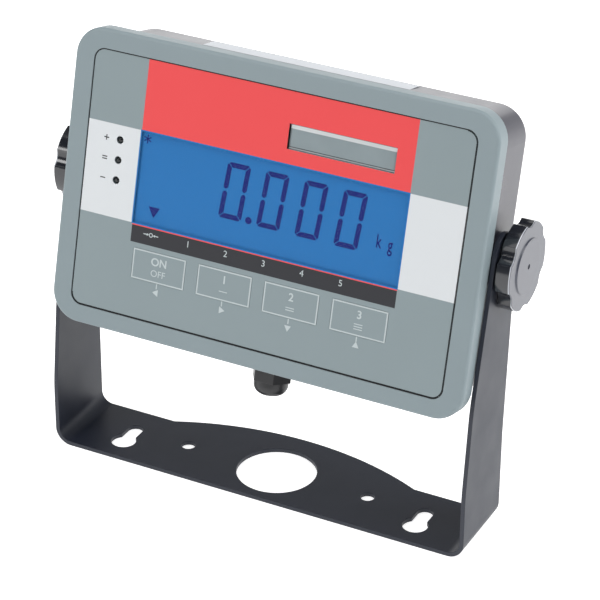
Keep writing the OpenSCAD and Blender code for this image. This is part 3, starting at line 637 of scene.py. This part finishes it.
# ticks and arrows under the keys, which stay on the label
def makeKeyArrows(setup):
    bm = bmesh.new()
    for name, turn in zip(keyNames, setup["arrowTurns"]):
        x, y = keyCentre(name)
        tickTop = y - setup["height"] / 2 - setup["tickGap"]
        addBar(bm, x, tickTop - setup["tick"] / 2, setup["tickLine"], setup["tick"])
        addDisc(bm, x, y - setup["arrowDrop"], setup["arrow"], sides=3, turn=turn)
    printPiece("keyArrows", bm, whiteInk, "indicator")


for count, name in enumerate(keyNames):
    makeKeyPrint(name, count, keySetup)
makeKeyArrows(keySetup)
print("keys printed")

# card window: a cover with sloped borders, in the card window's place

cardSetup = {
    "spare": 0.1, "rim": 0.35, "rise": 0.4, "inset": 0.01, "topSlope": 1.9, "sideSlope": 0.9,
    "footSlope": 1.0, "smoothBelow": 10.0, "topShade": 0.25, "footBand": 0.55, "beyond": 1.0, "soft": 0.12,
    # pale painted highlight on the slopes and dark painted shadow lines
    "highlightBand": linearColour(205, 212, 214), "shade": linearColour(84, 96, 100),
    "look": {"colour": linearColour(142, 155, 159), "rough": 0.22, "smudge": 0.05, "cloud": 0.05,
             "cloudScale": 60.0, "grain": 0.1, "grainScale": 900.0, "grainHeight": 0.05},
}
cardLook = {"colour": linearColour(150, 160, 162), "rough": 0.7, "cloud": 0.03}


# painted highlight and painted shadow: the upper and lower slopes are painted pale as a reflection, each
# with a dark painted shadow line on it
def coverMaterial(setup):
    material = newFinish("cardPlastic", setup["look"])
    tree = material.node_tree
    axes = faceAxes(tree)
    low, high = nodeSpan("card_window")
    topLine, footLine = high.y - setup["topShade"], low.y + setup["footBand"]
    paintedBands = ((high.y - setup["topSlope"], high.y + setup["beyond"], "highlightBand"),
             (topLine, high.y + setup["beyond"], "shade"),
             (footLine, low.y + setup["footSlope"], "shade"),
             (low.y - setup["beyond"], footLine, "highlightBand"))
    for start, end, colour in paintedBands:
        mixIn(tree, "Base Color", bandMask(tree, axes["Z"], start, end, setup["soft"]), setup[colour])
    return material


def makeCardCover(setup):
    low, high = nodeSpan("card_window")
    middle, span = (low + high) / 2, high - low
    place = Matrix.Translation((middle.x, middle.y, low.z + setup["rim"] / 2))
    size = Matrix.Diagonal((span.x + setup["spare"], span.y + setup["spare"], setup["rim"], 1))
    bm = bmesh.new()
    bmesh.ops.create_cube(bm, size=1.0, matrix=place @ size)
    top = max(bm.faces, key=lambda face: face.calc_center_median().z)
    bmesh.ops.inset_region(bm, faces=[top], thickness=setup["inset"], use_even_offset=True)
    bmesh.ops.translate(bm, vec=(0, 0, setup["rise"]), verts=top.verts)
    for vert in top.verts:
        vert.co.x -= setup["sideSlope"] if vert.co.x > middle.x else -setup["sideSlope"]
        vert.co.y -= setup["topSlope"] if vert.co.y > middle.y else -setup["footSlope"]
    return finishPiece("cardCover", bm, coverMaterial(setup), "indicator", facePlace(),
                       setup["smoothBelow"])


cover = makeCardCover(cardSetup)
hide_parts("card_window")
dress(newFinish("cardPaper", cardLook), "data_card")
print("card window made")

# knobs, with distances from the middle of the object in mm

knobLook = {
    "colour": linearColour(30, 33, 40), "rough": 0.14, "smudge": 0.04, "cloud": 0.03, "cloudScale": 60.0,
    "edge": 0.4, "coat": 0.5, "grain": 0.06, "grainScale": 900.0, "grainHeight": 0.05,
}
# end faces matt and painted lighter as lit from the side, with a pale painted highlight round the lobes'
# edge
knobFace = {
    "colour": linearColour(67, 71, 84), "rough": 0.42, "from": 115.0, "to": 115.12,
    "highlightFrom": 114.7, "highlightColour": linearColour(196, 200, 208), "highlightSoft": 0.06,
}


# glossy lobes, a painted highlight as a fine pale line round their outer edge, and matt end faces whose
# lighter colour is partly painted light from the side
def knobMaterial(setup):
    material = newFinish("knobPlastic", knobLook)
    tree = material.node_tree
    outward = combine(tree, "ABSOLUTE", splitAxes(tree, objectPlace(tree))["X"], 0.0)
    # painted highlight round the lobes' outer edge
    line = bandMask(tree, outward, setup["highlightFrom"], setup["from"], setup["highlightSoft"])
    # end faces painted lighter, partly standing in for the light from the side
    face = stepMask(tree, outward, setup["from"], setup["to"])
    mixIn(tree, "Base Color", line, setup["highlightColour"])
    mixIn(tree, "Base Color", face, setup["colour"])
    mixIn(tree, "Roughness", face, setup["rough"])
    return material


dress(knobMaterial(knobFace), "knob_right", "knob_left")

# lamps, gland, fasteners and the inside

lampLook = {"colour": linearColour(26, 30, 32), "rough": 0.15, "smudge": 0.03, "cloud": 0.05}
glandLook = {
    "colour": linearColour(34, 34, 37), "rough": 0.34, "smudge": 0.05, "cloud": 0.05, "edge": 0.3,
    "grain": 0.2, "grainScale": 1500.0, "grainHeight": 0.04,
}
rubberLook = {
    "colour": linearColour(30, 30, 30), "rough": 0.7, "cloud": 0.06, "grain": 0.4, "grainScale": 1400.0,
}
steelLook = {
    "colour": linearColour(176, 178, 182), "rough": 0.3, "metal": 1.0, "smudge": 0.06, "cloud": 0.04,
    "edge": 0.12,
}
brassLook = {
    "colour": linearColour(206, 172, 104), "rough": 0.3, "metal": 1.0, "smudge": 0.05, "cloud": 0.05,
}
darkLook = {"colour": linearColour(40, 40, 44), "rough": 0.5, "cloud": 0.05, "grain": 0.2}
boardLook = {"colour": linearColour(38, 92, 54), "rough": 0.4, "cloud": 0.12, "cloudScale": 300.0}
lightLook = {"colour": linearColour(236, 240, 244), "rough": 0.4, "cloud": 0.01}
stripLook = {"colour": linearColour(196, 128, 138), "rough": 0.7, "cloud": 0.1, "cloudScale": 800.0}
sleeveLook = {"colour": linearColour(50, 54, 84), "rough": 0.3, "cloud": 0.05}
terminalLook = {"colour": linearColour(58, 140, 84), "rough": 0.45, "cloud": 0.04, "grain": 0.15}

# each finish, its look and the nodes that have it
smallParts = (
    ("lampLens", lampLook, ["status_lamps"]),
    ("glandPlastic", glandLook, ["cable_gland_body", "cable_gland_nut", "cable_gland_locknut"]),
    ("sealRubber", rubberLook,
     ["cable_gland_seal", "housing_gasket", "friction_ring_right", "friction_ring_left"]),
    ("zincSteel", steelLook,
     ["housing_screws", "board_screws", "terminal_screws", "knob_stud_right", "knob_stud_left",
      "knob_washer_right", "knob_washer_left"]),
    ("turnedBrass", brassLook, ["boss_inserts"]),
    ("mouldedBlack", darkLook, ["lcd_frame", "key_switches", "board_parts", "buzzer", "power_socket"]),
    ("circuitBoard", boardLook, ["main_board"]),
    ("lightGuide", lightLook, ["backlight"]),
    ("contactRubber", stripLook, ["contact_strips"]),
    ("capacitorSleeve", sleeveLook, ["capacitors"]),
    ("terminalPlastic", terminalLook, ["terminal_block"]),
)
for finishName, look, wearers in smallParts:
    dress(newFinish(finishName, look), *wearers)
print("small parts dressed")

# floor, backdrop, light and camera

floorSetup = {"half": 6.0, "drop": 0.0002, "grey": 0.9, "rough": 0.9, "ownLight": 0.75}


# its own light is seen by the camera and by gloss only, and it keeps the object's shadow
def floorMaterial(setup):
    material = bpy.data.materials.new("paleFloor")
    material.use_nodes = True
    tree = material.node_tree
    shader = tree.nodes["Principled BSDF"]
    shader.inputs["Base Color"].default_value = (setup["grey"],) * 3 + (1,)
    shader.inputs["Roughness"].default_value = setup["rough"]
    glow = tree.nodes.new("ShaderNodeEmission")
    glow.inputs["Strength"].default_value = setup["ownLight"]
    both = tree.nodes.new("ShaderNodeAddShader")
    for place, part in enumerate((shader.outputs["BSDF"], glow.outputs["Emission"])):
        tree.links.new(part, both.inputs[place])
    path = tree.nodes.new("ShaderNodeLightPath").outputs
    seen = combine(tree, "MAXIMUM", path["Is Camera Ray"], path["Is Glossy Ray"])
    shown = mixShaders(tree, seen, shader.outputs["BSDF"], both.outputs["Shader"])
    tree.links.new(shown, tree.nodes["Material Output"].inputs["Surface"])
    return material


def makeFloor(setup):
    bm = bmesh.new()
    bmesh.ops.create_grid(bm, x_segments=1, y_segments=1, size=setup["half"])
    bmesh.ops.translate(bm, vec=(0, 0, -setup["drop"]), verts=bm.verts)
    mesh = bpy.data.meshes.new("studioFloor")
    bm.to_mesh(mesh)
    bm.free()
    mesh.materials.append(floorMaterial(setup))
    studioFloor = bpy.data.objects.new("studioFloor", mesh)
    scene.collection.objects.link(studioFloor)
    return studioFloor


studioFloor = makeFloor(floorSetup)

# horizon to overhead by height, room to backdrop by depth, as strengths
worldSetup = {
    "horizon": 1.0, "overhead": 0.2, "highFrom": 0.05, "highTo": 0.32,
    "room": 0.25, "backdrop": 1.0, "depthFrom": -0.6, "depthTo": 0.3, "fill": 0.5,
}


# white to the camera; gloss sees a bright horizon behind the object and a dimmer room in front and above
def studioWorld(setup):
    world = bpy.data.worlds.new("studioWorld")
    world.use_nodes = True
    tree = world.node_tree
    direction = splitAxes(tree, tree.nodes.new("ShaderNodeTexCoord").outputs["Generated"])
    height = addRange(tree, direction["Z"], setup["highFrom"], setup["highTo"], setup["horizon"],
                      setup["overhead"])
    depth = addRange(tree, direction["Y"], setup["depthFrom"], setup["depthTo"], setup["room"],
                     setup["backdrop"])
    lighting = tree.nodes["Background"]  # what lights the object
    lighting.inputs["Strength"].default_value = setup["fill"]
    mirrored = tree.nodes.new("ShaderNodeBackground")  # what gloss and glass show
    tree.links.new(combine(tree, "MULTIPLY", height, depth), mirrored.inputs["Strength"])
    seen = tree.nodes.new("ShaderNodeBackground")  # what the camera sees
    for background in (lighting, mirrored, seen):
        background.inputs["Color"].default_value = white
    path = tree.nodes.new("ShaderNodeLightPath").outputs
    shine = combine(tree, "MAXIMUM", path["Is Glossy Ray"], path["Is Transmission Ray"])
    unseen = mixShaders(tree, shine, lighting.outputs["Background"], mirrored.outputs["Background"])
    shown = mixShaders(tree, path["Is Camera Ray"], unseen, seen.outputs["Background"])
    tree.links.new(shown, tree.nodes["World Output"].inputs["Surface"])
    return world


scene.world = studioWorld(worldSetup)

lampSetups = {
    "topSoftbox": {"at": (-0.1, -0.2, 1.6), "size": (1.3, 1.1), "power": 6.8},
    "rightSoftbox": {"at": (1.4, 0.25, 0.95), "size": (0.9, 1.2), "power": 13.0},
    "frontSoftbox": {"at": (-0.95, -1.45, 1.05), "size": (0.7, 0.6), "power": 9.3},
    "backSoftbox": {"at": (-0.9, 2.1, 0.45), "size": (2.2, 0.7), "power": 6.0},
}
lampAim = (0, 0, 0.1)


def addSoftbox(name, setup):
    light = bpy.data.lights.new(name, "AREA")
    light.shape = "RECTANGLE"
    light.size, light.size_y = setup["size"]
    light.energy = setup["power"]
    lamp = bpy.data.objects.new(name, light)
    lamp.location = setup["at"]
    lamp.rotation_euler = (Vector(lampAim) - lamp.location).to_track_quat("-Z", "Y").to_euler()
    scene.collection.objects.link(lamp)


for name, setup in lampSetups.items():
    addSoftbox(name, setup)

# place, focal length and sensor in mm, angles in degrees, clipEnd in metres
cameraSetup = {
    "at": (492.68, -936.34, 687.57), "turn": 27.185, "down": 29.271, "roll": 0.392, "focal": 159.5,
    "sensor": 36.0, "clipEnd": 20.0,
}


def addCamera(setup):
    data = bpy.data.cameras.new("viewCamera")
    data.lens = setup["focal"]
    data.sensor_width = setup["sensor"]
    data.clip_end = setup["clipEnd"]
    camera = bpy.data.objects.new("viewCamera", data)
    camera.matrix_world = (Matrix.Translation(Vector(setup["at"]) * mm)
                           @ Matrix.Rotation(radians(setup["turn"]), 4, "Z")
                           @ Matrix.Rotation(radians(90 - setup["down"]), 4, "X")
                           @ Matrix.Rotation(radians(setup["roll"]), 4, "Z"))
    scene.collection.objects.link(camera)
    scene.camera = camera


addCamera(cameraSetup)
scene.view_settings.view_transform = "Standard"
print("stage, lights and camera set")

bpy.context.view_layer.update()
